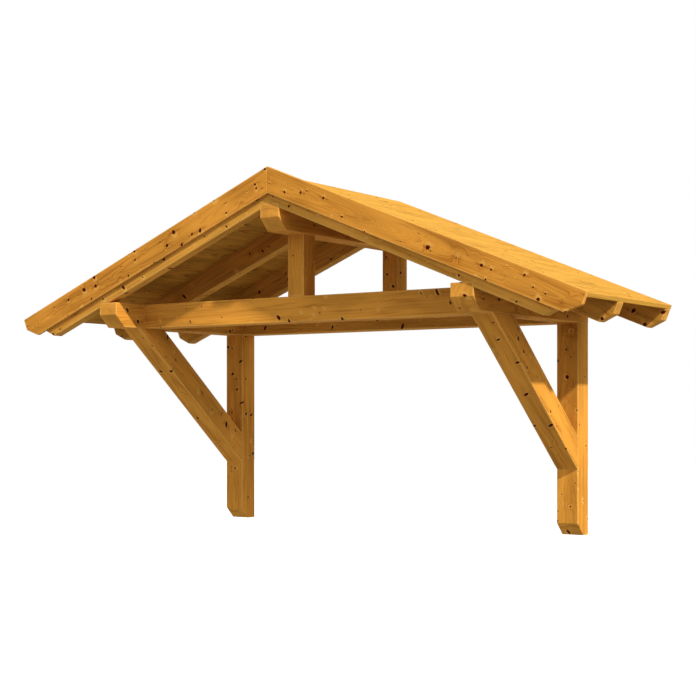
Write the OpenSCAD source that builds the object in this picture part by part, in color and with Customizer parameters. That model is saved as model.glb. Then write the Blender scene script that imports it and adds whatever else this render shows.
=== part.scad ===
// Porch canopy: a gabled timber roof on two short wall posts with knee braces.
// The wall is the plane Y = 0 and the canopy stands out from it towards -Y, with X = 0 at its middle.
// The origin is the centre of the rear tie beam's back face, which is held against the wall.

/* [Wall posts] */
// Distance between the middles of the two posts
post_spacing = 2190; // [1700:10:2700]
// Width of a post along the wall
post_w = 120; // [90:1:150]
// Depth of a post out from the wall
post_d = 120; // [90:1:150]
// Height of a post from its foot to the eaves purlin
post_h = 1088; // [950:1:1500]
// Size of the chamfer at the front of a post's foot
post_chamfer = 62; // [20:1:80]

/* [Knee braces] */
// Width of a brace along the wall
brace_w = 120; // [80:1:150]
// Depth of a brace's section, square to its length
brace_h = 130; // [80:1:160]
// Drop of a brace's lower edge, from the purlin down to its foot on the post
brace_drop = 751; // [550:1:850]
// Distance from a brace's head to the chamfer at the purlin's front end
brace_setback = 119; // [60:1:200]

/* [Purlins] */
// Reach of the purlins out from the wall
purlin_reach = 1190; // [1050:10:1500]
// Width of an eaves purlin
purlin_w = 120; // [90:1:150]
// Height of an eaves purlin
purlin_h = 130; // [100:1:160]
// Size of the chamfer under an eaves purlin's front end
purlin_chamfer = 65; // [20:1:80]
// Width of the ridge purlin
ridge_w = 116; // [90:1:150]
// Height of the ridge purlin
ridge_h = 130; // [100:1:160]
// Size of the chamfer under the ridge purlin's front end
ridge_chamfer = 63; // [20:1:80]

/* [Tie beams and king posts] */
// Thickness of a tie beam out from the wall
tie_t = 120; // [80:1:150]
// Height of a tie beam
tie_h = 130; // [100:1:160]
// Distance from the purlins' front ends back to the front tie beam
tie_setback = 216; // [120:1:300]
// Width of a king post
king_w = 100; // [60:1:115]
// Depth of a king post out from the wall
king_d = 100; // [60:1:120]

/* [Roof] */
// Slope of the roof in degrees
pitch = 22; // [18:0.5:32]
// Reach of the roof boards past the middle of a post, measured level
eaves_reach = 515; // [350:5:650]
// Thickness of a rafter
rafter_t = 60; // [40:1:80]
// Depth of a rafter, square to the slope
rafter_h = 120; // [90:1:150]
// Length of the slanting cut under a rafter's end
rafter_cut_l = 57; // [20:1:90]
// Height of the slanting cut under a rafter's end
rafter_cut_h = 61; // [20:1:80]
// Thickness of the roof boards
deck_t = 22; // [15:1:35]

/* [Barge boards] */
// Thickness of a barge board
barge_t = 20; // [15:1:45]
// Depth of a barge board, square to the slope
barge_h = 122; // [90:1:180]
// Height that a barge board stands proud of the roof boards
barge_rise = 27; // [5:1:50]
// Length that a barge board runs on past the roof boards' ends
barge_past = 110; // [0:1:200]
// Length of the slanting cut under a barge board's end
barge_cut_l = 69; // [20:1:100]
// Height of the slanting cut under a barge board's end
barge_cut_h = 61; // [20:1:80]

/* [Hidden] */

LEFT = -1;
RIGHT = 1;
HONEY = [0.80, 0.53, 0.18];
AMBER = [0.74, 0.47, 0.15];

// Levels, from the foot of the posts up to the top of the roof boards at the apex
beam_foot = -tie_h / 2;
post_foot = beam_foot - post_h;
purlin_top = beam_foot + purlin_h;
tie_top = beam_foot + tie_h;
half_spacing = post_spacing / 2;
roof_depth = deck_t + rafter_h;
ridge_top = purlin_top + half_spacing * tan(pitch);
ridge_foot = ridge_top - ridge_h;
apex = ridge_top + roof_depth / cos(pitch);

// Places out from the wall and along the slope
brace_run = purlin_reach - purlin_chamfer - brace_setback - post_d;
brace_angle = atan2(brace_drop, brace_run);
front_tie_y = -purlin_reach + tie_setback;
front_rafter_back = -purlin_reach + rafter_t;
deck_l = (half_spacing + eaves_reach) / cos(pitch);

// A side profile in Y and Z, drawn as a timber of the given width centred on x
module across(width, x) {
    translate([x - width / 2, 0, 0])
        rotate([90, 0, 90])
            linear_extrude(width)
                children();
}

// A front profile in X and Z, drawn as a board of the given thickness in front of the plane y = back
module outward(thickness, back) {
    translate([0, back, 0])
        rotate([90, 0, 0])
            linear_extrude(thickness)
                children();
}

// A shape of the right-hand slope, mirrored for the left-hand one
module on_side(side) {
    if (side == LEFT) mirror([1, 0, 0]) children();
    else children();
}

// Side outline of a beam from the wall to its chamfered front end
module beam_outline(foot, height, chamfer) {
    polygon([
        [0, foot],
        [0, foot + height],
        [-purlin_reach, foot + height],
        [-purlin_reach, foot + chamfer],
        [-purlin_reach + chamfer, foot]
    ]);
}

// A point of the right-hand slope in X and Z, at a length down from the apex and a depth below the roof
function slope_point(along, depth) = [
    along * cos(pitch) - depth * sin(pitch),
    apex - along * sin(pitch) - depth * cos(pitch)
];

// The point on the plumb joint at the apex, at a depth below the roof
function plumb_point(depth) = [0, apex - depth / cos(pitch)];

module wall_post(side) {
    across(post_w, side * half_spacing)
        polygon([
            [0, post_foot],
            [0, beam_foot],
            [-post_d, beam_foot],
            [-post_d, post_foot + post_chamfer],
            [-post_d + post_chamfer, post_foot]
        ]);
}

module knee_brace(side) {
    foot = beam_foot - brace_drop;
    head = -post_d - brace_run;
    across(brace_w, side * half_spacing)
        polygon([
            [-post_d, foot],
            [-post_d, foot + brace_h / cos(brace_angle)],
            [head + brace_h / sin(brace_angle), beam_foot],
            [head, beam_foot]
        ]);
}

module eaves_purlin(side) {
    across(purlin_w, side * half_spacing)
        beam_outline(beam_foot, purlin_h, purlin_chamfer);
}

module tie_beam(front) {
    span = post_spacing - purlin_w;
    translate([-span / 2, front, beam_foot])
        cube([span, tie_t, tie_h]);
}

module king_post(front) {
    translate([-king_w / 2, front, tie_top])
        cube([king_w, king_d, ridge_foot - tie_top]);
}

// A rafter is notched over the outer half of the eaves purlin and over the corner of the ridge purlin
module rafter(side, back) {
    purlin_edge = half_spacing + purlin_w / 2;
    ridge_edge = ridge_w / 2;
    on_side(side)
        outward(rafter_t, back)
            polygon([
                plumb_point(deck_t),
                slope_point(deck_l, deck_t),
                slope_point(deck_l, roof_depth - rafter_cut_h),
                slope_point(deck_l - rafter_cut_l, roof_depth),
                [purlin_edge, ridge_top - purlin_edge * tan(pitch)],
                [purlin_edge, purlin_top],
                [half_spacing, purlin_top],
                [ridge_edge, ridge_top - ridge_edge * tan(pitch)],
                [ridge_edge, ridge_top],
                [0, ridge_top]
            ]);
}

module roof_deck(side) {
    on_side(side)
        outward(purlin_reach, 0)
            polygon([
                plumb_point(0),
                slope_point(deck_l, 0),
                slope_point(deck_l, deck_t),
                plumb_point(deck_t)
            ]);
}

module barge_board(side) {
    barge_l = deck_l + barge_past;
    barge_foot = barge_h - barge_rise;
    on_side(side)
        outward(barge_t, -purlin_reach)
            polygon([
                plumb_point(-barge_rise),
                slope_point(barge_l, -barge_rise),
                slope_point(barge_l, barge_foot - barge_cut_h),
                slope_point(barge_l - barge_cut_l, barge_foot),
                plumb_point(barge_foot)
            ]);
}

module left_wall_post() { color(HONEY) wall_post(LEFT); }
module right_wall_post() { color(HONEY) wall_post(RIGHT); }
module left_knee_brace() { color(AMBER) knee_brace(LEFT); }
module right_knee_brace() { color(AMBER) knee_brace(RIGHT); }
module left_eaves_purlin() { color(HONEY) eaves_purlin(LEFT); }
module right_eaves_purlin() { color(HONEY) eaves_purlin(RIGHT); }
module ridge_purlin() { color(HONEY) across(ridge_w, 0) beam_outline(ridge_foot, ridge_h, ridge_chamfer); }
module rear_tie_beam() { color(AMBER) tie_beam(-tie_t); }
module front_tie_beam() { color(AMBER) tie_beam(front_tie_y); }
module rear_king_post() { color(HONEY) king_post(-king_d); }
module front_king_post() { color(HONEY) king_post(front_tie_y); }
module rear_left_rafter() { color(AMBER) rafter(LEFT, 0); }
module rear_right_rafter() { color(AMBER) rafter(RIGHT, 0); }
module middle_left_rafter() { color(AMBER) rafter(LEFT, front_rafter_back / 2); }
module middle_right_rafter() { color(AMBER) rafter(RIGHT, front_rafter_back / 2); }
module front_left_rafter() { color(AMBER) rafter(LEFT, front_rafter_back); }
module front_right_rafter() { color(AMBER) rafter(RIGHT, front_rafter_back); }
module left_roof_deck() { color(HONEY) roof_deck(LEFT); }
module right_roof_deck() { color(HONEY) roof_deck(RIGHT); }
module left_barge_board() { color(HONEY) barge_board(LEFT); }
module right_barge_board() { color(HONEY) barge_board(RIGHT); }

left_wall_post();
right_wall_post();
left_knee_brace();
right_knee_brace();
left_eaves_purlin();
right_eaves_purlin();
ridge_purlin();
rear_tie_beam();
front_tie_beam();
rear_king_post();
front_king_post();
rear_left_rafter();
rear_right_rafter();
middle_left_rafter();
middle_right_rafter();
front_left_rafter();
front_right_rafter();
left_roof_deck();
right_roof_deck();
left_barge_board();
right_barge_board();
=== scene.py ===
"""Timber porch canopy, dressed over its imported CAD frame.

Every timber is the solid of its CAD node with eased arrises. It carries its own grain coordinates as
attributes, so that one family of shader groups lays growth rings, knots and fibre along each member.
The roof decks are rows of boards laid by Geometry Nodes. Lengths are in metres in the frame of the CAD.
"""
from __future__ import annotations

import logging
import math
import random
from dataclasses import dataclass
from enum import Enum
from functools import reduce

import bmesh
import bpy
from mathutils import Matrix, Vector


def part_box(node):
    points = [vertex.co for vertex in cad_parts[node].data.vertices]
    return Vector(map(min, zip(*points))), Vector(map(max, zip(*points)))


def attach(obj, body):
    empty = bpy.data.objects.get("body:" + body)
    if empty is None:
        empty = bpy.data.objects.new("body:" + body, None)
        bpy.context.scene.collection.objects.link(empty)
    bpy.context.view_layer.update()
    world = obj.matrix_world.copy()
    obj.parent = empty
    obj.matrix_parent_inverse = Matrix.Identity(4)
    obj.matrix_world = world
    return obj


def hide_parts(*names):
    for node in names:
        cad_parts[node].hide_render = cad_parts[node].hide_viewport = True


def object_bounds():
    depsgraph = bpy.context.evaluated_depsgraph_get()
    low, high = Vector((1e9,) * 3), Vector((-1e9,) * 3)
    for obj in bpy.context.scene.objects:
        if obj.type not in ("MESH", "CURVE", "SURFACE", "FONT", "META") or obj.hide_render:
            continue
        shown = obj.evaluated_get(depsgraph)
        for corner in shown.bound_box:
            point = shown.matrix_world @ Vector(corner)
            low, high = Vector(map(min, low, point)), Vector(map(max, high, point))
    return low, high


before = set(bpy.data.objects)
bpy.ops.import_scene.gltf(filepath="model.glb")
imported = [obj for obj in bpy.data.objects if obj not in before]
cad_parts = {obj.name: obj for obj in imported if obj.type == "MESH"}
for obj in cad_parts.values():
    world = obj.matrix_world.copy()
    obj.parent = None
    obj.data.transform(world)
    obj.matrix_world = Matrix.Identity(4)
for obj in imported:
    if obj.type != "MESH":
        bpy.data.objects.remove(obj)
CAD_LOW, CAD_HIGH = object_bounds()

LOG = logging.getLogger("canopy")
BODY = "root"

# Tolerances for reading the CAD solids
MERGE_DISTANCE = 1e-5
PLUMB_TOLERANCE = 1e-4
FLAT_ANGLE = math.radians(0.5)
SHARP_ANGLE = math.radians(15.0)
SQUARE_COSINE = 0.01
PARALLEL_COSINE = 0.999

# Where the pith of a log may lie from the middle of a timber, and the highest seed of its figure
BOARD_PITH_SIDE = 0.03
BOARD_PITH_DEPTH = (0.055, 0.10)
BEAM_PITH_REACH = (0.10, 0.14)
LAST_SEED = 100.0

# Levels before and after a smooth step
RISING = (0.0, 1.0)
FALLING = (1.0, 0.0)

# Limits of a step over the whole of a mask
MASK_RANGE = (0.0, 1.0)

# Masks that the figure group puts out and the stain group takes in
FIGURE_MASKS = ("Rings", "Streaks", "Pitch lines", "Tone", "Knots", "Knot cores", "Halos", "Fibre")

Colour = tuple[float, float, float, float]
Span = tuple[float, float]
Shares = tuple[tuple[str, float], ...]
Output = bpy.types.NodeSocket


class Side(Enum):
    """The two slopes of the roof, as the sign of X."""

    LEFT = -1
    RIGHT = 1


class Cut(Enum):
    """How a timber was sawn, which sets where the pith of the log lies."""

    HEART_FREE_BEAM = "beam sawn beside the heart"
    FLAT_SAWN_BOARD = "board sawn across the rings"


class Socket(Enum):
    """Socket types of the node groups."""

    FLOAT = "NodeSocketFloat"
    INT = "NodeSocketInt"
    VECTOR = "NodeSocketVector"
    COLOUR = "NodeSocketColor"
    GEOMETRY = "NodeSocketGeometry"
    MATERIAL = "NodeSocketMaterial"


class NodeBench:
    """Adds and joins the nodes of one tree."""

    # Places of the colour sockets among all those of a Mix node: factor, first and second colour, result
    COLOUR_MIX_INPUTS = (0, 6, 7)
    COLOUR_MIX_OUTPUT = 2

    def __init__(self, tree: bpy.types.NodeTree) -> None:
        """Takes over a tree and empties it.

        Args:
            tree: the node tree to fill.
        """
        self.tree = tree
        self.given: bpy.types.NodeOutputs | None = None
        self.result: bpy.types.NodeInputs | None = None
        tree.nodes.clear()

    @classmethod
    def group(
        cls,
        name: str,
        inputs: dict[str, Socket],
        outputs: dict[str, Socket],
        kind: str = "ShaderNodeTree",
    ) -> NodeBench:
        """Opens a new node group with named sockets.

        Args:
            name: the group's name.
            inputs: input names with their types.
            outputs: output names with their types.
            kind: the tree type, shader or geometry.

        Returns:
            A bench whose given and result hold the group's own sockets.
        """
        tree = bpy.data.node_groups.new(name, kind)
        bench = cls(tree)
        for label, socket in inputs.items():
            tree.interface.new_socket(label, in_out="INPUT", socket_type=socket.value)
        for label, socket in outputs.items():
            tree.interface.new_socket(label, in_out="OUTPUT", socket_type=socket.value)
        bench.given = tree.nodes.new("NodeGroupInput").outputs
        bench.result = tree.nodes.new("NodeGroupOutput").inputs
        return bench

    def add(self, kind: str, inputs: dict | None = None, **settings: object) -> bpy.types.Node:
        """Adds a node.

        Args:
            kind: the node's type name.
            inputs: values or sockets to feed, by input name or place.
            settings: properties to set on the node before it is fed.

        Returns:
            The new node.
        """
        node = self.tree.nodes.new(kind)
        for name, value in settings.items():
            setattr(node, name, value)
        for name, value in (inputs or {}).items():
            self.feed(node.inputs[name], value)
        return node

    def feed(self, socket: bpy.types.NodeSocket, value: object) -> None:
        """Joins a socket to another one, or sets its own value.

        Args:
            socket: the input socket.
            value: an output socket, or a plain value.
        """
        if isinstance(value, bpy.types.NodeSocket):
            self.tree.links.new(value, socket)
        else:
            socket.default_value = value

    def math(self, operation: str, *values: object) -> Output:
        """Adds a Math node.

        Args:
            operation: the operation's name.
            values: its operands, numbers or sockets.

        Returns:
            The output socket.
        """
        return self.add("ShaderNodeMath", dict(enumerate(values)), operation=operation).outputs[0]

    def split(self, vector: Output) -> tuple[Output, ...]:
        """Returns the three components of a vector or colour."""
        return tuple(self.add("ShaderNodeSeparateXYZ", {"Vector": vector}).outputs)

    def combine(self, x: object, y: object, z: object) -> Output:
        """Returns a vector made of three numbers or sockets."""
        return self.add("ShaderNodeCombineXYZ", {"X": x, "Y": y, "Z": z}).outputs[0]

    def length(self, x: object, y: object, z: object = 0.0) -> Output:
        """Returns the length of a vector."""
        node = self.add("ShaderNodeVectorMath", {0: self.combine(x, y, z)}, operation="LENGTH")
        return node.outputs["Value"]

    def product(self, *values: object) -> Output:
        """Returns the product of numbers or sockets."""
        return reduce(lambda left, right: self.math("MULTIPLY", left, right), values)

    def smooth(self, value: object, limits: tuple, levels: Span = RISING) -> Output:
        """Adds a smooth step.

        Args:
            value: the number that is mapped.
            limits: where the step begins and ends, as numbers or sockets.
            levels: the result up to the first limit, and from the second one on.

        Returns:
            The output socket.
        """
        low, high = limits
        start, end = levels
        inputs = {"Value": value, "From Min": low, "From Max": high, "To Min": start, "To Max": end}
        return self.add("ShaderNodeMapRange", inputs, interpolation_type="SMOOTHSTEP").outputs[0]

    def noise(self, place: Output, detail: float, roughness: float = 0.5) -> tuple[Output, Output]:
        """Adds a noise texture at scale 1, read at a place that is already scaled.

        Args:
            place: where the noise is read.
            detail: its number of finer layers.
            roughness: the weight of the finer layers.

        Returns:
            The noise as a number and as a colour.
        """
        inputs = {"Vector": place, "Scale": 1.0, "Detail": detail, "Roughness": roughness}
        return tuple(self.add("ShaderNodeTexNoise", inputs).outputs)

    def stretched(self, place: tuple, rates: Span) -> Output:
        """Returns a place scaled by one rate along the timber and another across it."""
        scaled = zip(place, (rates[0], rates[1], rates[1]))
        return self.combine(*(self.math("MULTIPLY", part, rate) for part, rate in scaled))

    def mix(self, factor: object, first: object, second: object, blend: str = "MIX") -> Output:
        """Mixes two colours.

        Args:
            factor: the share of the second colour.
            first: the colour at factor 0.
            second: the colour at factor 1.
            blend: the blend mode's name.

        Returns:
            The mixed colour's socket.
        """
        inputs = dict(zip(self.COLOUR_MIX_INPUTS, (factor, first, second)))
        node = self.add("ShaderNodeMix", inputs, data_type="RGBA", blend_type=blend)
        return node.outputs[self.COLOUR_MIX_OUTPUT]


@dataclass(frozen=True)
class TimberFigure:
    """Shader group for softwood figure: tapered rings about an off-centre pith, knots, streaks and fibre.

    Rates are in noise cells a metre, along the timber and across it. The edges of a knot, its halo and its
    tails are in radii of the knot.
    """

    name: str = "Timber figure"
    taper: float = 0.024
    pith_drift: float = 0.035
    drift_rate: float = 0.8
    ring_wave: float = 0.014
    wave_rates: Span = (1.9, 11.0)
    ring_ripple: float = 0.0016
    ripple_rates: Span = (9.0, 70.0)
    late_rise: Span = (0.15, 0.85)
    late_fall: Span = (0.88, 1.0)
    faintest_year: float = 0.15
    year_power: float = 2.0
    zone_rates: Span = (1.9, 14.0)
    zone_step: Span = (0.35, 0.65)
    zone_levels: Span = (0.3, 1.0)
    streak_rates: Span = (2.4, 110.0)
    streak_step: Span = (0.46, 0.72)
    line_rates: Span = (4.5, 300.0)
    line_step: Span = (0.67, 0.75)
    tone_rates: Span = (2.6, 13.0)
    fibre_rates: Span = (28.0, 700.0)
    wobble: float = 0.010
    wobble_rates: Span = (45.0, 45.0)
    knot_stretch: float = 0.62
    knot_share: float = 0.95
    knot_power: float = 1.8
    smallest_knot: float = 0.30
    branch_length: float = 0.55
    branch_lean: float = 0.45
    branch_tip: Span = (0.80, 1.05)
    knot_edge: Span = (0.75, 1.15)
    core_edge: Span = (0.35, 0.85)
    halo_edge: Span = (0.5, 1.9)
    halo_run: float = 0.8
    tail_width: Span = (0.1, 0.7)
    tail_run: Span = (1.0, 6.0)
    tail_depth: Span = (1.5, 3.5)
    swell: float = 1.5
    swell_fall: float = 0.75

    def build(self) -> bpy.types.NodeTree:
        """Builds the group.

        Returns:
            The tree. Grain is a point in the timber's own coordinates, and Pith holds the pith's place in
            the section and the timber's seed.
        """
        sizes = ("Ring spacing", "Knot spacing", "Knot size", "Flare")
        bench = NodeBench.group(
            self.name,
            {"Grain": Socket.VECTOR, "Pith": Socket.VECTOR} | {label: Socket.FLOAT for label in sizes},
            {label: Socket.FLOAT for label in FIGURE_MASKS},
        )
        along, across, depth = bench.split(bench.given["Grain"])
        seed = bench.split(bench.given["Pith"])[2]
        run = bench.math("ADD", along, seed)
        place = (run, across, depth)
        swell, tails = self._knots(bench, place)
        radius = bench.math("ADD", self._radius(bench, place), swell)
        ring = self._shape(bench, bench.math("MULTIPLY_ADD", along, self.taper, radius), place)
        self._rings(bench, ring, place, seed)
        round_place = (run, ring, seed)
        streaks, _ = bench.noise(bench.stretched(round_place, self.streak_rates), detail=2.0, roughness=0.6)
        lines, _ = bench.noise(bench.stretched(round_place, self.line_rates), detail=1.0)
        tone, _ = bench.noise(bench.stretched(place, self.tone_rates), detail=2.0)
        fibre, _ = bench.noise(bench.stretched(place, self.fibre_rates), detail=3.0, roughness=0.6)
        drawn = bench.math("MAXIMUM", bench.smooth(lines, self.line_step), tails)
        bench.feed(bench.result["Streaks"], bench.smooth(streaks, self.streak_step))
        bench.feed(bench.result["Pitch lines"], drawn)
        bench.feed(bench.result["Tone"], tone)
        bench.feed(bench.result["Fibre"], fibre)
        return bench.tree

    def _radius(self, bench: NodeBench, place: tuple) -> Output:
        """Works out the distance from the log's pith, which drifts along the timber.

        Args:
            bench: the group's bench.
            place: the run, across and depth of the point.

        Returns:
            The distance.
        """
        run, across, depth = place
        pith_across, pith_depth, seed = bench.split(bench.given["Pith"])
        slow_run = bench.math("MULTIPLY", run, self.drift_rate)
        _, drift = bench.noise(bench.combine(slow_run, seed, 0.0), detail=1.0)
        drift_across, drift_depth, _ = bench.split(drift)
        off_across = bench.math("SUBTRACT", across, pith_across)
        off_depth = bench.math("SUBTRACT", depth, pith_depth)
        return bench.length(
            bench.math("MULTIPLY_ADD", drift_across, self.pith_drift, off_across),
            bench.math("MULTIPLY_ADD", drift_depth, self.pith_drift, off_depth),
        )

    def _knots(self, bench: NodeBench, place: tuple) -> tuple[Output, Output]:
        """Scatters knots through the timber, as short branches that lean out from the pith.

        Args:
            bench: the group's bench.
            place: the run, across and depth of the point.

        Returns:
            How far the rings swell out round the nearest knot, and the dark tails along the grain from it.
        """
        spacing = bench.given["Knot spacing"]
        stretches = (self.knot_stretch, 1.0, 1.0)
        _, wobble = bench.noise(bench.stretched(place, self.wobble_rates), detail=2.0)
        shaken = [
            bench.math("MULTIPLY_ADD", shake, self.wobble, part)
            for part, shake in zip(place, bench.split(wobble))
        ]
        cells = [
            bench.math("DIVIDE", bench.math("MULTIPLY", part, stretch), spacing)
            for part, stretch in zip(shaken, stretches)
        ]
        nearest = bench.add("ShaderNodeTexVoronoi", {"Vector": bench.combine(*cells), "Scale": 1.0})
        pick_size, pick_share, pick_tail = bench.split(nearest.outputs["Color"])
        share = bench.math("LESS_THAN", pick_share, self.knot_share)
        spread = bench.math("POWER", pick_size, self.knot_power)
        girth = bench.math("MULTIPLY_ADD", spread, 1.0 - self.smallest_knot, self.smallest_knot)
        size = bench.math("MULTIPLY", bench.given["Knot size"], girth)
        centre = [
            bench.math("DIVIDE", bench.math("MULTIPLY", part, spacing), stretch)
            for part, stretch in zip(bench.split(nearest.outputs["Position"]), stretches)
        ]
        off_run, off_across, off_depth = (
            bench.math("DIVIDE", bench.math("SUBTRACT", part, middle), size)
            for part, middle in zip(shaken, centre)
        )
        out_across, out_depth = self._outward(bench, centre)
        outward = bench.math("MULTIPLY_ADD", off_across, out_across, bench.product(off_depth, out_depth))
        round_log = bench.math(
            "SUBTRACT", bench.product(off_depth, out_across), bench.product(off_across, out_depth)
        )
        lengthways = bench.math("MULTIPLY_ADD", outward, -self.branch_lean, off_run)
        reach = bench.math("MULTIPLY", outward, self.branch_length)
        distance = bench.length(lengthways, round_log, reach)
        flared = bench.length(
            bench.math("MULTIPLY", lengthways, self.halo_run),
            bench.math("ADD", round_log, bench.given["Flare"]),
            reach,
        )
        cut_through = bench.smooth(bench.math("ABSOLUTE", reach), self.branch_tip, FALLING)
        for output, measure, edge in (
            ("Knots", distance, self.knot_edge),
            ("Knot cores", distance, self.core_edge),
            ("Halos", flared, self.halo_edge),
        ):
            mask = bench.smooth(measure, edge, FALLING)
            bench.feed(bench.result[output], bench.product(mask, share, cut_through))
        tails = bench.product(
            share,
            pick_tail,
            bench.smooth(bench.math("ABSOLUTE", round_log), self.tail_width, FALLING),
            bench.smooth(bench.math("ABSOLUTE", lengthways), self.tail_run, FALLING),
            bench.smooth(bench.math("ABSOLUTE", outward), self.tail_depth, FALLING),
        )
        fall = bench.math("POWER", self.swell_fall, bench.math("POWER", distance, 2.0))
        return bench.product(fall, share, size, self.swell), tails

    @staticmethod
    def _outward(bench: NodeBench, centre: list) -> tuple[Output, Output]:
        """Finds the direction in the section from the pith out to a knot.

        Args:
            bench: the group's bench.
            centre: the run, across and depth of the knot's centre.

        Returns:
            The direction's parts across and in depth.
        """
        pith_across, pith_depth, _ = bench.split(bench.given["Pith"])
        to_across = bench.math("SUBTRACT", centre[1], pith_across)
        to_depth = bench.math("SUBTRACT", centre[2], pith_depth)
        reach = bench.length(to_across, to_depth)
        return bench.math("DIVIDE", to_across, reach), bench.math("DIVIDE", to_depth, reach)

    def _shape(self, bench: NodeBench, radius: Output, place: tuple) -> Output:
        """Makes the distance from the pith wavy along the timber.

        Args:
            bench: the group's bench.
            radius: the distance from the pith.
            place: the run, across and depth of the point.

        Returns:
            The wavy distance.
        """
        wave, _ = bench.noise(bench.stretched(place, self.wave_rates), detail=1.0)
        ripple, _ = bench.noise(bench.stretched(place, self.ripple_rates), detail=1.0)
        waved = bench.math("MULTIPLY_ADD", wave, self.ring_wave, radius)
        return bench.math("MULTIPLY_ADD", ripple, self.ring_ripple, waved)

    def _rings(self, bench: NodeBench, ring: Output, place: tuple, seed: Output) -> None:
        """Draws the dark latewood of the growth rings.

        Args:
            bench: the group's bench.
            ring: the wavy distance from the pith.
            place: the run, across and depth of the point.
            seed: the timber's seed.
        """
        count = bench.math("DIVIDE", ring, bench.given["Ring spacing"])
        part = bench.math("FRACT", count)
        year = bench.add(
            "ShaderNodeTexWhiteNoise",
            {"Vector": bench.combine(bench.math("FLOOR", count), seed, 0.0)},
            noise_dimensions="2D",
        )
        late = bench.product(
            bench.smooth(part, self.late_rise), bench.smooth(part, self.late_fall, FALLING)
        )
        spread = bench.math("POWER", year.outputs["Value"], self.year_power)
        strength = bench.math("MULTIPLY_ADD", spread, 1.0 - self.faintest_year, self.faintest_year)
        zone, _ = bench.noise(bench.stretched(place, self.zone_rates), detail=1.0)
        shown = bench.smooth(zone, self.zone_step, self.zone_levels)
        bench.feed(bench.result["Rings"], bench.product(late, strength, shown))


@dataclass(frozen=True)
class ArrisWearAndHighlight:
    """Shader group for the paler arrises of a timber: worn stain, and a painted highlight along every edge.
    """

    name: str = "Arris wear and highlight"
    ragged: float = 0.006
    ragged_rate: float = 60.0

    def build(self) -> bpy.types.NodeTree:
        """Builds the group.

        Returns:
            The tree. Section holds half the timber's length, width and depth.
        """
        bench = NodeBench.group(
            self.name,
            {"Grain": Socket.VECTOR, "Section": Socket.VECTOR, "Width": Socket.FLOAT},
            {"Wear": Socket.FLOAT},
        )
        given = bench.given
        off = bench.add("ShaderNodeVectorMath", {0: given["Grain"]}, operation="ABSOLUTE")
        inward = bench.add(
            "ShaderNodeVectorMath", {0: given["Section"], 1: off.outputs[0]}, operation="SUBTRACT"
        )
        from_end, from_side, from_face = bench.split(inward.outputs[0])
        nearest = bench.math("MINIMUM", from_side, from_face)
        farther = bench.math("MAXIMUM", from_side, from_face)
        to_arris = bench.math("MAXIMUM", nearest, bench.math("MINIMUM", farther, from_end))
        rough = bench.add(
            "ShaderNodeTexNoise", {"Vector": given["Grain"], "Scale": self.ragged_rate, "Detail": 3.0}
        )
        edge = bench.math("MULTIPLY_ADD", rough.outputs[0], self.ragged, to_arris)
        half_ragged = self.ragged / 2
        limit = bench.math("ADD", given["Width"], half_ragged)
        bench.feed(bench.result["Wear"], bench.smooth(edge, (half_ragged, limit), FALLING))
        return bench.tree


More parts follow.
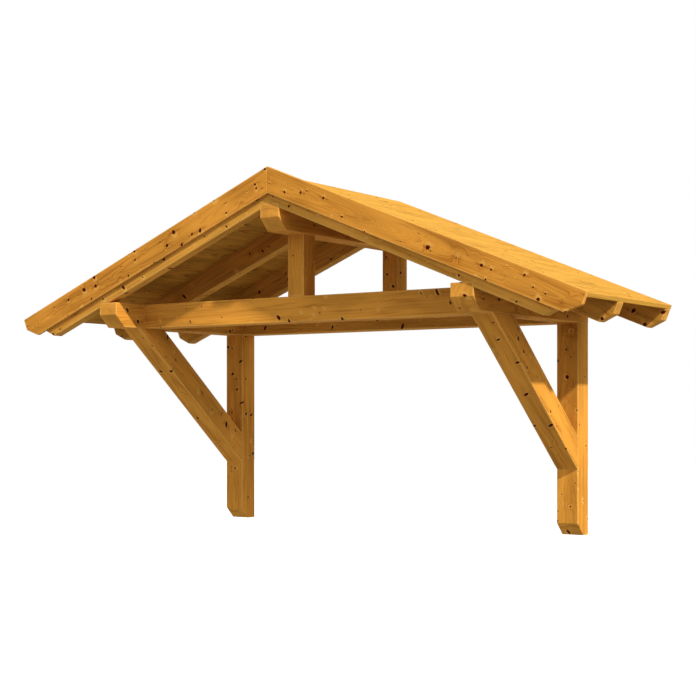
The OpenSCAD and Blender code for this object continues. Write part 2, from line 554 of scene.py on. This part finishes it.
@dataclass(frozen=True)
class HoneyStain:
    """Shader group that turns masks into the colour, roughness and relief of stained softwood.

    A share is how strongly a mask shows. The painted light, which mixes pale wood onto faces that don't look
    down and leaves the undersides darker as painted shade, has one share on the lightest wood and one on the
    darkest.
    """

    name: str = "Honey stain"
    dark_shares: Shares = (("Rings", 0.85), ("Streaks", 0.50), ("Pitch lines", 0.75))
    dull_shares: Shares = (("Fibre", 0.12), ("Rings", -0.08), ("End grain", 0.12), ("Knots", -0.12))
    relief_shares: Shares = (("Rings", 0.45), ("Fibre", 0.5), ("Knots", 0.4))
    tone_step: Span = (0.28, 0.72)
    tone_levels: Span = (0.84, 1.14)
    fleck_step: Span = (0.25, 0.75)
    fleck_levels: Span = (0.95, 1.04)
    halo_share: float = 0.52
    # Share of pale wood along the arrises, as worn stain and painted highlight.
    wear_and_highlight_share: float = 0.55
    painted_light_shares: Span = (1.0, 0.5)
    end_share: float = 0.09
    core_share: float = 0.6

    def build(self) -> bpy.types.NodeTree:
        """Builds the group.

        Returns:
            The tree. It takes the figure's masks, those of the surface and the five colours of the wood.
        """
        masks = (*FIGURE_MASKS, "Wear", "Painted light", "End grain", "Dullness")
        colours = ("Early wood", "Late wood", "Knot rim", "Knot core", "Pale wood")
        bench = NodeBench.group(
            self.name,
            {label: Socket.FLOAT for label in masks} | {label: Socket.COLOUR for label in colours},
            {"Colour": Socket.COLOUR, "Roughness": Socket.FLOAT, "Height": Socket.FLOAT},
        )
        given = bench.given
        dark = self._sum(bench, 0.0, self.dark_shares)
        colour = bench.mix(dark, given["Early wood"], given["Late wood"])
        shade = bench.smooth(given["Tone"], self.tone_step, self.tone_levels)
        fleck = bench.smooth(given["Fibre"], self.fleck_step, self.fleck_levels)
        level = bench.math("MULTIPLY", shade, fleck)
        colour = bench.mix(1.0, colour, bench.combine(level, level, level), "MULTIPLY")
        for label, share in (
            ("Halos", self.halo_share),
            # Pale wood along the arrises: worn stain and painted highlight.
            ("Wear", self.wear_and_highlight_share),
            # Painted light: pale wood on every face but those facing down, whose darker colour is painted
            # shade.
            ("Painted light", bench.smooth(dark, MASK_RANGE, self.painted_light_shares)),
            ("End grain", self.end_share),
        ):
            colour = bench.mix(bench.product(given[label], share), colour, given["Pale wood"])
        heart = bench.product(given["Knot cores"], self.core_share)
        knot = bench.mix(heart, given["Knot rim"], given["Knot core"])
        colour = bench.mix(given["Knots"], colour, knot)
        bench.feed(bench.result["Colour"], colour)
        bench.feed(bench.result["Roughness"], self._sum(bench, given["Dullness"], self.dull_shares))
        bench.feed(bench.result["Height"], self._sum(bench, 0.0, self.relief_shares))
        return bench.tree

    @staticmethod
    def _sum(bench: NodeBench, level: object, shares: Shares) -> Output:
        """Adds shares of masks to a level.

        Args:
            bench: the group's bench.
            level: the number to start from.
            shares: each mask's name and share.

        Returns:
            The sum.
        """
        for label, share in shares:
            level = bench.math("MULTIPLY_ADD", bench.given[label], share, level)
        return level


@dataclass(frozen=True)
class WoodEffects:
    """The shader groups that every wood finish places with its own values."""

    figure: bpy.types.NodeTree
    wear: bpy.types.NodeTree
    stain: bpy.types.NodeTree

    @classmethod
    def build(cls) -> WoodEffects:
        """Returns the three groups, built once."""
        return cls(TimberFigure().build(), ArrisWearAndHighlight().build(), HoneyStain().build())


@dataclass(frozen=True)
class WoodFinish:
    """A planed softwood with a honey-coloured matt stain."""

    slot: str
    early: Colour = (0.70, 0.300, 0.041, 1.0)
    late: Colour = (0.40, 0.132, 0.013, 1.0)
    knot_rim: Colour = (0.050, 0.003, 0.0004, 1.0)
    knot_core: Colour = (0.100, 0.007, 0.0006, 1.0)
    pale: Colour = (0.86, 0.460, 0.100, 1.0)
    ring_spacing: float = 0.0036
    knot_spacing: float = 0.049
    knot_size: float = 0.0115
    flare: float = 0.55
    # Width of the paler arrises, which are worn stain and painted highlight.
    wear_and_highlight_width: float = 0.009
    dullness: float = 0.66
    specular: float = 0.015
    relief: float = 0.0006
    relief_strength: float = 0.5
    # Painted light: how much pale wood goes on every face but those facing down, which stay darker as painted
    # shade.
    painted_light_level: float = 0.0
    painted_light_facing: Span = (-0.85, -0.5)
    end_facing: Span = (0.3, 0.9)

    def material(self, effects: WoodEffects) -> bpy.types.Material:
        """Makes the finish's material.

        Args:
            effects: the shared shader groups.

        Returns:
            The material.
        """
        material = bpy.data.materials.new(f"stained_{self.slot}")
        material.use_nodes = True
        bench = NodeBench(material.node_tree)
        grain, section, pith, axis = (
            bench.add("ShaderNodeAttribute", attribute_name=name).outputs["Vector"]
            for name in ("grain", "section", "pith", "grain_axis")
        )
        figure = bench.add(
            "ShaderNodeGroup",
            {
                "Grain": grain,
                "Pith": pith,
                "Ring spacing": self.ring_spacing,
                "Knot spacing": self.knot_spacing,
                "Knot size": self.knot_size,
                "Flare": self.flare,
            },
            node_tree=effects.figure,
        )
        wear = bench.add(
            "ShaderNodeGroup",
            {"Grain": grain, "Section": section, "Width": self.wear_and_highlight_width},
            node_tree=effects.wear,
        )
        normal = bench.add("ShaderNodeNewGeometry").outputs["Normal"]
        upward = bench.split(normal)[2]
        facing = bench.add("ShaderNodeVectorMath", {0: normal, 1: axis}, operation="DOT_PRODUCT")
        endways = bench.math("ABSOLUTE", facing.outputs["Value"])
        masks = {
            # Paler arrises, as worn stain and painted highlight.
            "Wear": wear.outputs["Wear"],
            # Painted light on faces that don't look down; the undersides keep the darker colour as painted
            # shade.
            "Painted light": bench.smooth(upward, self.painted_light_facing, (0.0, self.painted_light_level)),
            "End grain": bench.smooth(endways, self.end_facing),
            "Dullness": self.dullness,
        }
        colours = {
            "Early wood": self.early,
            "Late wood": self.late,
            "Knot rim": self.knot_rim,
            "Knot core": self.knot_core,
            "Pale wood": self.pale,
        }
        drawn = {label: figure.outputs[label] for label in FIGURE_MASKS}
        stain = bench.add("ShaderNodeGroup", drawn | masks | colours, node_tree=effects.stain)
        bump = bench.add(
            "ShaderNodeBump",
            {
                "Strength": self.relief_strength,
                "Distance": self.relief,
                "Height": stain.outputs["Height"],
            },
        )
        surface = bench.add(
            "ShaderNodeBsdfPrincipled",
            {
                "Base Color": stain.outputs["Colour"],
                "Roughness": stain.outputs["Roughness"],
                "Normal": bump.outputs["Normal"],
                "Specular IOR Level": self.specular,
            },
        )
        bench.add("ShaderNodeOutputMaterial", {"Surface": surface.outputs["BSDF"]})
        return material


@dataclass(frozen=True)
class GrainFrame:
    """A timber's own coordinates: its middle, three directions and half sizes along them."""

    middle: Vector
    along: Vector
    across: Vector
    depth: Vector
    half: Vector

    @classmethod
    def of(cls, solid: bmesh.types.BMesh) -> GrainFrame:
        """Finds the coordinates of a sawn timber from its solid.

        Args:
            solid: the merged solid.

        Returns:
            The frame, with along on the longest edge and depth through the thinnest side.
        """
        longest = max(solid.edges, key=lambda edge: edge.calc_length())
        along = (longest.verts[1].co - longest.verts[0].co).normalized()
        square = [
            face.normal.copy() for face in solid.faces if abs(face.normal.dot(along)) < SQUARE_COSINE
        ]
        depth = min(square, key=lambda normal: cls._reach(solid, normal)[1])
        across = depth.cross(along).normalized()
        spans = [cls._reach(solid, direction) for direction in (along, across, depth)]
        middle = along * spans[0][0] + across * spans[1][0] + depth * spans[2][0]
        return cls(middle, along, across, depth, Vector([span[1] for span in spans]))

    @staticmethod
    def _reach(solid: bmesh.types.BMesh, direction: Vector) -> Span:
        """Returns the middle and half the length of a solid along a direction."""
        places = [vert.co.dot(direction) for vert in solid.verts]
        return (max(places) + min(places)) / 2, (max(places) - min(places)) / 2

    def place(self, point: Vector) -> tuple[float, float, float]:
        """Returns a point in the timber's own coordinates."""
        offset = point - self.middle
        return offset.dot(self.along), offset.dot(self.across), offset.dot(self.depth)


@dataclass
class Timber:
    """One sawn member, made from the solid of its CAD node."""

    node: str
    cut: Cut
    slot: str
    batch: int
    arris: float
    saw_arris: float
    arris_facets: int = 2
    saw_facets: int = 1
    round_profile: float = 0.5

    def build(self, material: bpy.types.Material) -> bpy.types.Object:
        """Makes the timber's object.

        Args:
            material: its finish.

        Returns:
            The new object, which rides on the body and stands for its CAD node.
        """
        solid = bmesh.new()
        solid.from_mesh(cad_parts[self.node].data)
        bmesh.ops.remove_doubles(solid, verts=solid.verts, dist=MERGE_DISTANCE)
        bmesh.ops.dissolve_limit(solid, angle_limit=FLAT_ANGLE, verts=solid.verts, edges=solid.edges)
        grain = GrainFrame.of(solid)
        self._ease(solid, grain.along, True)
        self._ease(solid, grain.along, False)
        mesh = bpy.data.meshes.new(self.node + "_timber")
        solid.to_mesh(mesh)
        solid.free()
        self._store(mesh, grain)
        mesh.materials.append(material)
        timber = bpy.data.objects.new(mesh.name, mesh)
        bpy.context.scene.collection.objects.link(timber)
        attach(timber, BODY)
        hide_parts(self.node)
        return timber

    def _ease(self, solid: bmesh.types.BMesh, along: Vector, lengthways: bool) -> None:
        """Eases the convex arrises of a solid.

        Args:
            solid: the solid that is changed.
            along: the direction of the grain.
            lengthways: whether the arrises along the grain or those of the sawn ends are eased.
        """
        chosen = []
        for edge in solid.edges:
            if not edge.is_convex or edge.calc_face_angle() < SHARP_ANGLE:
                continue
            run = (edge.verts[1].co - edge.verts[0].co).normalized()
            if (abs(run.dot(along)) > PARALLEL_COSINE) == lengthways:
                chosen.append(edge)
        bmesh.ops.bevel(
            solid,
            geom=chosen,
            offset=self.arris if lengthways else self.saw_arris,
            offset_type="OFFSET",
            segments=self.arris_facets if lengthways else self.saw_facets,
            profile=self.round_profile,
            affect="EDGES",
            clamp_overlap=True,
        )

    def _store(self, mesh: bpy.types.Mesh, grain: GrainFrame) -> None:
        """Stores the grain's attributes on the mesh.

        Args:
            mesh: the timber's mesh.
            grain: its own coordinates.
        """
        draw = random.Random(f"{self.node} {self.batch}")
        if self.cut is Cut.FLAT_SAWN_BOARD:
            pith_across = draw.uniform(-BOARD_PITH_SIDE, BOARD_PITH_SIDE)
            pith_depth = draw.choice((-1, 1)) * draw.uniform(*BOARD_PITH_DEPTH)
        else:
            turn = draw.uniform(0.0, math.tau)
            far = draw.uniform(*BEAM_PITH_REACH)
            pith_across = far * math.cos(turn)
            pith_depth = far * math.sin(turn)
        seed = draw.uniform(0.0, LAST_SEED)
        values = {
            "grain": [grain.place(vert.co) for vert in mesh.vertices],
            "section": [tuple(grain.half)] * len(mesh.vertices),
            "pith": [(pith_across, pith_depth, seed)] * len(mesh.vertices),
            "grain_axis": [tuple(grain.along)] * len(mesh.vertices),
        }
        for name, vectors in values.items():
            attribute = mesh.attributes.new(name, "FLOAT_VECTOR", "POINT")
            attribute.data.foreach_set("vector", [number for vector in vectors for number in vector])


@dataclass
class TimberSet:
    """A sub-assembly of sawn timbers that share a finish, a batch of logs and an easing."""

    finish: WoodFinish
    nodes: tuple[str, ...]
    cut: Cut = Cut.HEART_FREE_BEAM
    batch: int = 6
    arris: float = 0.004
    saw_arris: float = 0.0012

    def build(self, effects: WoodEffects) -> None:
        """Builds and dresses every timber of the set.

        Args:
            effects: the shared shader groups.
        """
        material = self.finish.material(effects)
        for node in self.nodes:
            member = Timber(node, self.cut, self.finish.slot, self.batch, self.arris, self.saw_arris)
            timber = member.build(material)
            LOG.info("%s: %d faces, %s", timber.name, len(timber.data.polygons), self.cut.value)


@dataclass
class MainFrame(TimberSet):
    """Wall posts, knee braces, purlins, tie beams and king posts."""

    finish: WoodFinish = WoodFinish("frame_timber")
    nodes: tuple[str, ...] = (
        "left_wall_post",
        "right_wall_post",
        "left_knee_brace",
        "right_knee_brace",
        "left_eaves_purlin",
        "right_eaves_purlin",
        "ridge_purlin",
        "rear_tie_beam",
        "front_tie_beam",
        "rear_king_post",
        "front_king_post",
    )


@dataclass
class Rafters(TimberSet):
    """The three pairs of rafters."""

    # Painted light: the rafters, which stand in the roof's shade, get a less red, more yellow wood than the
    # frame, to offset the redder light there.
    finish: WoodFinish = WoodFinish(
        "rafter_timber", early=(0.65, 0.304, 0.047, 1.0), late=(0.385, 0.138, 0.015, 1.0)
    )
    nodes: tuple[str, ...] = tuple(
        f"{place}_{side}_rafter" for place in ("rear", "middle", "front") for side in ("left", "right")
    )
    arris: float = 0.003


@dataclass
class BargeBoards(TimberSet):
    """The mitred boards along the front of the roof."""

    finish: WoodFinish = WoodFinish(
        "barge_timber",
        early=(0.66, 0.274, 0.036, 1.0),
        late=(0.35, 0.112, 0.011, 1.0),
        knot_spacing=0.048,
        knot_size=0.0125,
        flare=1.1,
    )
    nodes: tuple[str, ...] = ("left_barge_board", "right_barge_board")
    cut: Cut = Cut.FLAT_SAWN_BOARD
    batch: int = 2
    arris: float = 0.0025
    saw_arris: float = 0.002


@dataclass
class RoofBoards:
    """The boarding of both slopes, laid edge to edge along the ridge by Geometry Nodes."""

    # The boards' dark base colour is painted shade, kept on the faces that look down under the roof; every
    # other face is mixed toward pale wood as painted light.
    finish: WoodFinish = WoodFinish(
        "roof_boards",
        early=(0.48, 0.218, 0.028, 1.0),
        late=(0.24, 0.084, 0.008, 1.0),
        pale=(0.85, 0.458, 0.074, 1.0),
        knot_spacing=0.070,
        wear_and_highlight_width=0.001,
        dullness=0.72,
        painted_light_level=0.38,
    )
    boards: int = 14
    gap: float = 0.0008
    easing: float = 0.0018
    easing_facets: int = 2
    seed: int = 2
    pith_low: tuple[float, float, float] = (-BOARD_PITH_SIDE, -BOARD_PITH_DEPTH[1], 0.0)
    pith_high: tuple[float, float, float] = (BOARD_PITH_SIDE, -BOARD_PITH_DEPTH[0], LAST_SEED)

    def build(self, effects: WoodEffects) -> None:
        """Builds and dresses the boarding of both slopes.

        Args:
            effects: the shared shader groups.
        """
        material = self.finish.material(effects)
        tree = self._tree()
        for side in Side:
            deck = self._lay(tree, side, material)
            LOG.info("%s: %d boards, %d faces", deck.name, self.boards, len(deck.data.polygons))

    def _tree(self) -> bpy.types.NodeTree:
        """Builds the tree that lays a row of boards down a slope and trims the top one plumb.

        Returns:
            The geometry tree.
        """
        bench = NodeBench.group(
            "Roof boards",
            {
                "Boards": Socket.INT,
                "Cover width": Socket.FLOAT,
                "Board width": Socket.FLOAT,
                "Thickness": Socket.FLOAT,
                "Length": Socket.FLOAT,
                "Easing": Socket.FLOAT,
                "Slope": Socket.FLOAT,
                "Side": Socket.FLOAT,
                "Ridge": Socket.VECTOR,
                "Seed": Socket.INT,
                "Finish": Socket.MATERIAL,
            },
            {"Geometry": Socket.GEOMETRY},
            "GeometryNodeTree",
        )
        given = bench.given
        board = self._board(bench)
        half_cover = bench.math("MULTIPLY", given["Cover width"], 0.5)
        half_down = bench.math("MULTIPLY", given["Thickness"], -0.5)
        row = bench.add(
            "GeometryNodeMeshLine",
            {
                "Count": given["Boards"],
                "Start Location": bench.combine(half_cover, 0.0, half_down),
                "Offset": bench.combine(given["Cover width"], 0.0, 0.0),
            },
            mode="OFFSET",
        )
        laid = bench.add("GeometryNodeInstanceOnPoints", {"Points": row.outputs[0], "Instance": board})
        pick = bench.add(
            "FunctionNodeRandomValue",
            {"Min": self.pith_low, "Max": self.pith_high, "Seed": given["Seed"]},
            data_type="FLOAT_VECTOR",
        )
        logs = self._keep(bench, laid.outputs[0], "pith", pick.outputs[0], "INSTANCE")
        turn = bench.math("MULTIPLY", bench.math("LESS_THAN", given["Side"], 0.0), math.pi)
        tilted = bench.add(
            "GeometryNodeTransform",
            {
                "Geometry": logs,
                "Translation": given["Ridge"],
                "Rotation": bench.combine(0.0, given["Slope"], turn),
            },
        )
        boards = bench.add("GeometryNodeRealizeInstances", {"Geometry": tilted.outputs[0]})
        trimmed = self._trim(bench, boards.outputs[0])
        flat = bench.add("GeometryNodeSetShadeSmooth", {"Geometry": trimmed, "Shade Smooth": False})
        dressed = bench.add(
            "GeometryNodeSetMaterial", {"Geometry": flat.outputs[0], "Material": given["Finish"]}
        )
        bench.feed(bench.result["Geometry"], dressed.outputs[0])
        return bench.tree

    def _board(self, bench: NodeBench) -> Output:
        """Adds the nodes that make one board with eased edges and its grain attributes.

        Args:
            bench: the tree's bench.

        Returns:
            The board's geometry, centred on the origin with its length along Y.
        """
        given = bench.given
        outline = bench.add(
            "GeometryNodeCurvePrimitiveQuadrilateral",
            {"Width": given["Board width"], "Height": given["Thickness"]},
        )
        eased = bench.add(
            "GeometryNodeFilletCurve",
            {"Curve": outline.outputs[0], "Radius": given["Easing"], "Count": self.easing_facets},
            mode="POLY",
        )
        half_length = bench.math("MULTIPLY", given["Length"], 0.5)
        line = bench.add(
            "GeometryNodeCurvePrimitiveLine",
            {
                "Start": bench.combine(0.0, bench.math("MULTIPLY", half_length, -1.0), 0.0),
                "End": bench.combine(0.0, half_length, 0.0),
            },
        )
        body = bench.add(
            "GeometryNodeCurveToMesh",
            {"Curve": line.outputs[0], "Profile Curve": eased.outputs[0], "Fill Caps": True},
        )
        across, along, depth = bench.split(bench.add("GeometryNodeInputPosition").outputs[0])
        section = bench.combine(
            half_length,
            bench.math("MULTIPLY", given["Board width"], 0.5),
            bench.math("MULTIPLY", given["Thickness"], 0.5),
        )
        board = self._keep(bench, body.outputs[0], "grain", bench.combine(along, across, depth))
        board = self._keep(bench, board, "section", section)
        return self._keep(bench, board, "grain_axis", bench.combine(0.0, 1.0, 0.0))

    def _trim(self, bench: NodeBench, boards: Output) -> Output:
        """Adds the nodes that cut what crosses the ridge's middle back to a plumb joint.

        Args:
            bench: the tree's bench.
            boards: the boards in their places.

        Returns:
            The trimmed boards.
        """
        given = bench.given
        x = bench.split(bench.add("GeometryNodeInputPosition").outputs[0])[0]
        over = bench.math("MAXIMUM", bench.product(x, given["Side"], -1.0), 0.0)
        drop = bench.math("MULTIPLY", bench.math("TANGENT", given["Slope"]), -1.0)
        back = bench.combine(bench.product(over, given["Side"]), 0.0, bench.product(over, drop))
        return bench.add("GeometryNodeSetPosition", {"Geometry": boards, "Offset": back}).outputs[0]

    @staticmethod
    def _keep(
        bench: NodeBench, geometry: Output, name: str, value: Output, domain: str = "POINT"
    ) -> Output:
        """Stores a vector attribute.

        Args:
            bench: the tree's bench.
            geometry: what carries the attribute.
            name: the attribute's name.
            value: the vector.
            domain: what it is stored on.

        Returns:
            The geometry with the attribute.
        """
        node = bench.add(
            "GeometryNodeStoreNamedAttribute",
            {"Geometry": geometry, "Name": name, "Value": value},
            data_type="FLOAT_VECTOR",
            domain=domain,
        )
        return node.outputs[0]

    def _lay(
        self, tree: bpy.types.NodeTree, side: Side, material: bpy.types.Material
    ) -> bpy.types.Object:
        """Lays the boards of one slope inside its CAD deck.

        Args:
            tree: the boards' geometry tree.
            side: the slope.
            material: the boards' finish.

        Returns:
            The deck's object, which rides on the body and stands for its CAD node.
        """
        node = f"{side.name.lower()}_roof_deck"
        points = [vert.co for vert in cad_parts[node].data.vertices]
        low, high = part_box(node)
        eave = max(points, key=lambda point: (abs(point.x), point.z))
        slope = math.atan2(high.z - eave.z, abs(eave.x))
        plumb = [point.z for point in points if abs(point.x) < PLUMB_TOLERANCE]
        cover = abs(eave.x) / math.cos(slope) / self.boards
        values = {
            "Boards": self.boards,
            "Cover width": cover,
            "Board width": cover - self.gap,
            "Thickness": (max(plumb) - min(plumb)) * math.cos(slope),
            "Length": high.y - low.y,
            "Easing": self.easing,
            "Slope": slope,
            "Side": float(side.value),
            "Ridge": (0.0, (low.y + high.y) / 2, high.z),
            "Seed": self.seed + side.value,
            "Finish": material,
        }
        deck = bpy.data.objects.new(f"{side.name.lower()}_roof_boards", bpy.data.meshes.new("boards"))
        bpy.context.scene.collection.objects.link(deck)
        modifier = deck.modifiers.new("boards", "NODES")
        modifier.node_group = tree
        for item in tree.interface.items_tree:
            if item.in_out == "INPUT":
                modifier[item.identifier] = values[item.name]
        graph = bpy.context.evaluated_depsgraph_get()
        mesh = bpy.data.meshes.new_from_object(
            deck.evaluated_get(graph), preserve_all_data_layers=True, depsgraph=graph
        )
        deck.modifiers.clear()
        deck.data = mesh
        mesh.name = deck.name
        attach(deck, BODY)
        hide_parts(node)
        return deck


@dataclass
class Studio:
    """Camera, light and floor.

    The camera's sizes are in pixels of the photograph's frame, and angles are in degrees. The sky has a level
    straight up, two levels low down (bright at the front right, dim behind), and two below the horizon.
    """

    frame_px: float = 696.0
    focal_px: float = 1451.68
    centre_px: Span = (348.3, 411.4)
    sensor_mm: float = 36.0
    camera_place: tuple[float, float, float] = (4.3973, -6.861, -0.518)
    camera_turn: float = 34.68
    sun_turn: float = 23.7
    sun_height: float = 37.4
    sun_strength: float = 4.0
    sun_width: float = 1.6
    sun_colour: tuple[float, float, float] = (1.0, 0.985, 0.94)
    zenith_level: float = 0.48
    bright_level: float = 1.12
    dim_level: float = 0.40
    ground_level: float = 0.22
    nadir_level: float = 0.62
    zenith_step: Span = (0.45, 0.75)
    front_step: Span = (-0.4, 0.4)
    horizon_step: Span = (-0.05, 0.05)
    nadir_step: Span = (-0.75, -0.45)
    sky_colour: Colour = (0.97, 1.0, 1.07, 1.0)
    backdrop_colour: Colour = (1.0, 1.0, 1.0, 1.0)
    backdrop_level: float = 1.0
    floor_drop: float = 2.2
    floor_half: float = 60.0
    floor_colour: Colour = (0.95, 0.95, 0.95, 1.0)

    def build(self) -> None:
        """Sets up the view transform, camera, sun, sky and floor."""
        bpy.context.scene.view_settings.view_transform = "Standard"
        self._camera()
        self._sun()
        self._sky()
        self._floor()

    def _camera(self) -> None:
        """Makes the camera at the photograph's viewpoint."""
        data = bpy.data.cameras.new("camera")
        data.sensor_width = self.sensor_mm
        data.lens = self.focal_px / self.frame_px * self.sensor_mm
        half = self.frame_px / 2
        data.shift_x = (half - self.centre_px[0]) / self.frame_px
        data.shift_y = (self.centre_px[1] - half) / self.frame_px
        camera = bpy.data.objects.new("camera", data)
        camera.location = self.camera_place
        camera.rotation_euler = (math.pi / 2, 0.0, math.radians(self.camera_turn))
        bpy.context.scene.collection.objects.link(camera)
        bpy.context.scene.camera = camera

    def _sun(self) -> None:
        """Makes the sun, with its bearing taken from +X round towards the front."""
        data = bpy.data.lights.new("sun", "SUN")
        data.energy = self.sun_strength
        data.color = self.sun_colour
        data.angle = math.radians(self.sun_width)
        sun = bpy.data.objects.new("sun", data)
        sun.rotation_euler = (0.0, math.radians(90.0 - self.sun_height), math.radians(-self.sun_turn))
        bpy.context.scene.collection.objects.link(sun)

    def _sky(self) -> None:
        """Makes a sky that is bright low down at the front right, and looks white to the camera."""
        world = bpy.data.worlds.new("sky")
        world.use_nodes = True
        bpy.context.scene.world = world
        bench = NodeBench(world.node_tree)
        x, y, up = bench.split(bench.add("ShaderNodeTexCoord").outputs["Generated"])
        frontal = bench.math("SUBTRACT", x, y)
        low_sky = bench.smooth(frontal, self.front_step, (self.dim_level, self.bright_level))
        ground = bench.smooth(up, self.nadir_step, (self.nadir_level, self.ground_level))
        sky = self._blend(bench, bench.smooth(up, self.zenith_step), low_sky, self.zenith_level)
        level = self._blend(bench, bench.smooth(up, self.horizon_step), ground, sky)
        rays = bench.add("ShaderNodeLightPath").outputs
        seen = bench.math("MAXIMUM", rays["Is Camera Ray"], rays["Is Transmission Ray"])
        seen = bench.math("MAXIMUM", seen, rays["Is Glossy Ray"])
        strength = self._blend(bench, seen, level, self.backdrop_level)
        colour = bench.mix(seen, self.sky_colour, self.backdrop_colour)
        light = bench.add("ShaderNodeBackground", {"Color": colour, "Strength": strength})
        bench.add("ShaderNodeOutputWorld", {"Surface": light.outputs[0]})

    @staticmethod
    def _blend(bench: NodeBench, factor: Output, first: object, second: object) -> Output:
        """Returns a number between two others, at the given share of the second."""
        return bench.add("ShaderNodeMix", {"Factor": factor, "A": first, "B": second}).outputs[0]

    def _floor(self) -> None:
        """Makes a pale floor well below the canopy, which is clear when seen from underneath."""
        level = CAD_LOW.z - self.floor_drop
        signs = ((-1, -1), (1, -1), (1, 1), (-1, 1))
        corners = [(x * self.floor_half, y * self.floor_half, level) for x, y in signs]
        mesh = bpy.data.meshes.new("floor")
        mesh.from_pydata(corners, [], [(0, 1, 2, 3)])
        material = bpy.data.materials.new("floor")
        material.use_nodes = True
        bench = NodeBench(material.node_tree)
        pale = bench.add("ShaderNodeBsdfDiffuse", {"Color": self.floor_colour})
        clear = bench.add("ShaderNodeBsdfTransparent")
        below = bench.add("ShaderNodeNewGeometry").outputs["Backfacing"]
        surface = bench.add("ShaderNodeMixShader", {0: below, 1: pale.outputs[0], 2: clear.outputs[0]})
        bench.add("ShaderNodeOutputMaterial", {"Surface": surface.outputs[0]})
        mesh.materials.append(material)
        floor = bpy.data.objects.new("floor", mesh)
        floor.visible_diffuse = False
        floor.visible_glossy = False
        floor.visible_shadow = False
        bpy.context.scene.collection.objects.link(floor)


def main() -> None:
    """Builds the studio and every sub-assembly in order."""
    logging.basicConfig(level=logging.INFO, format="%(message)s")
    effects = WoodEffects.build()
    Studio().build()
    for part in (MainFrame(), Rafters(), RoofBoards(), BargeBoards()):
        part.build(effects)


if __name__ == "__main__":
    main()
